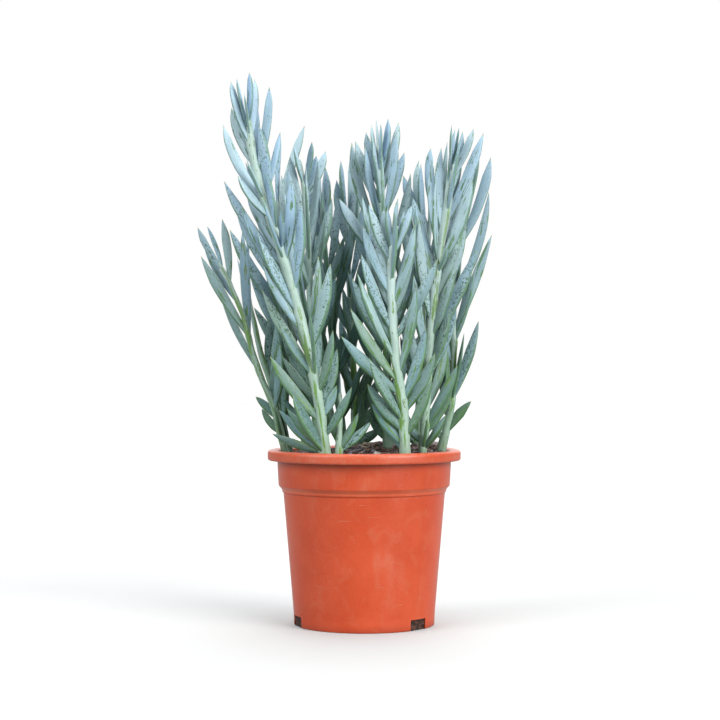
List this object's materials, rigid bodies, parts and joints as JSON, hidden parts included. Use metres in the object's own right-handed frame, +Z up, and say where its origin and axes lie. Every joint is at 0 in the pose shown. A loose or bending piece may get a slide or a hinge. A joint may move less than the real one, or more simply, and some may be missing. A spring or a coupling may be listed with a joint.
{
  "type": "potted mount everest senecio",
  "caption": "Upright leafy stems with long, fleshy blue-green leaves, growing in a round plastic nursery pot with a downturned rim, collar and drain notches.",
  "frame": {"origin": "centre of the pot's underside, on the surface that it stands on", "axes": "+Z up along the pot's axis, -Y towards the viewer of the picture, +X to the right"},
  "size_m": [0.197, 0.1353, 0.365],
  "materials": {
    "plastic": "satin",
    "mix": "matte",
    "leaf": "matte"
  },
  "bodies": {
    "root": {"pot": "plastic", "potting_mix": "mix", "stem_front_left": "leaf", "stem_front_right": "leaf", "stem_right": "leaf", "stem_far_left": "leaf", "stem_centre_left": "leaf", "stem_centre_right": "leaf", "shoot_front": "leaf", "stem_far_right": "leaf", "stem_back_left": "leaf", "stem_centre": "leaf", "stem_rear_left": "leaf", "stem_rear_right": "leaf", "stem_rear_centre": "leaf"}
  },
  "joints": []
}
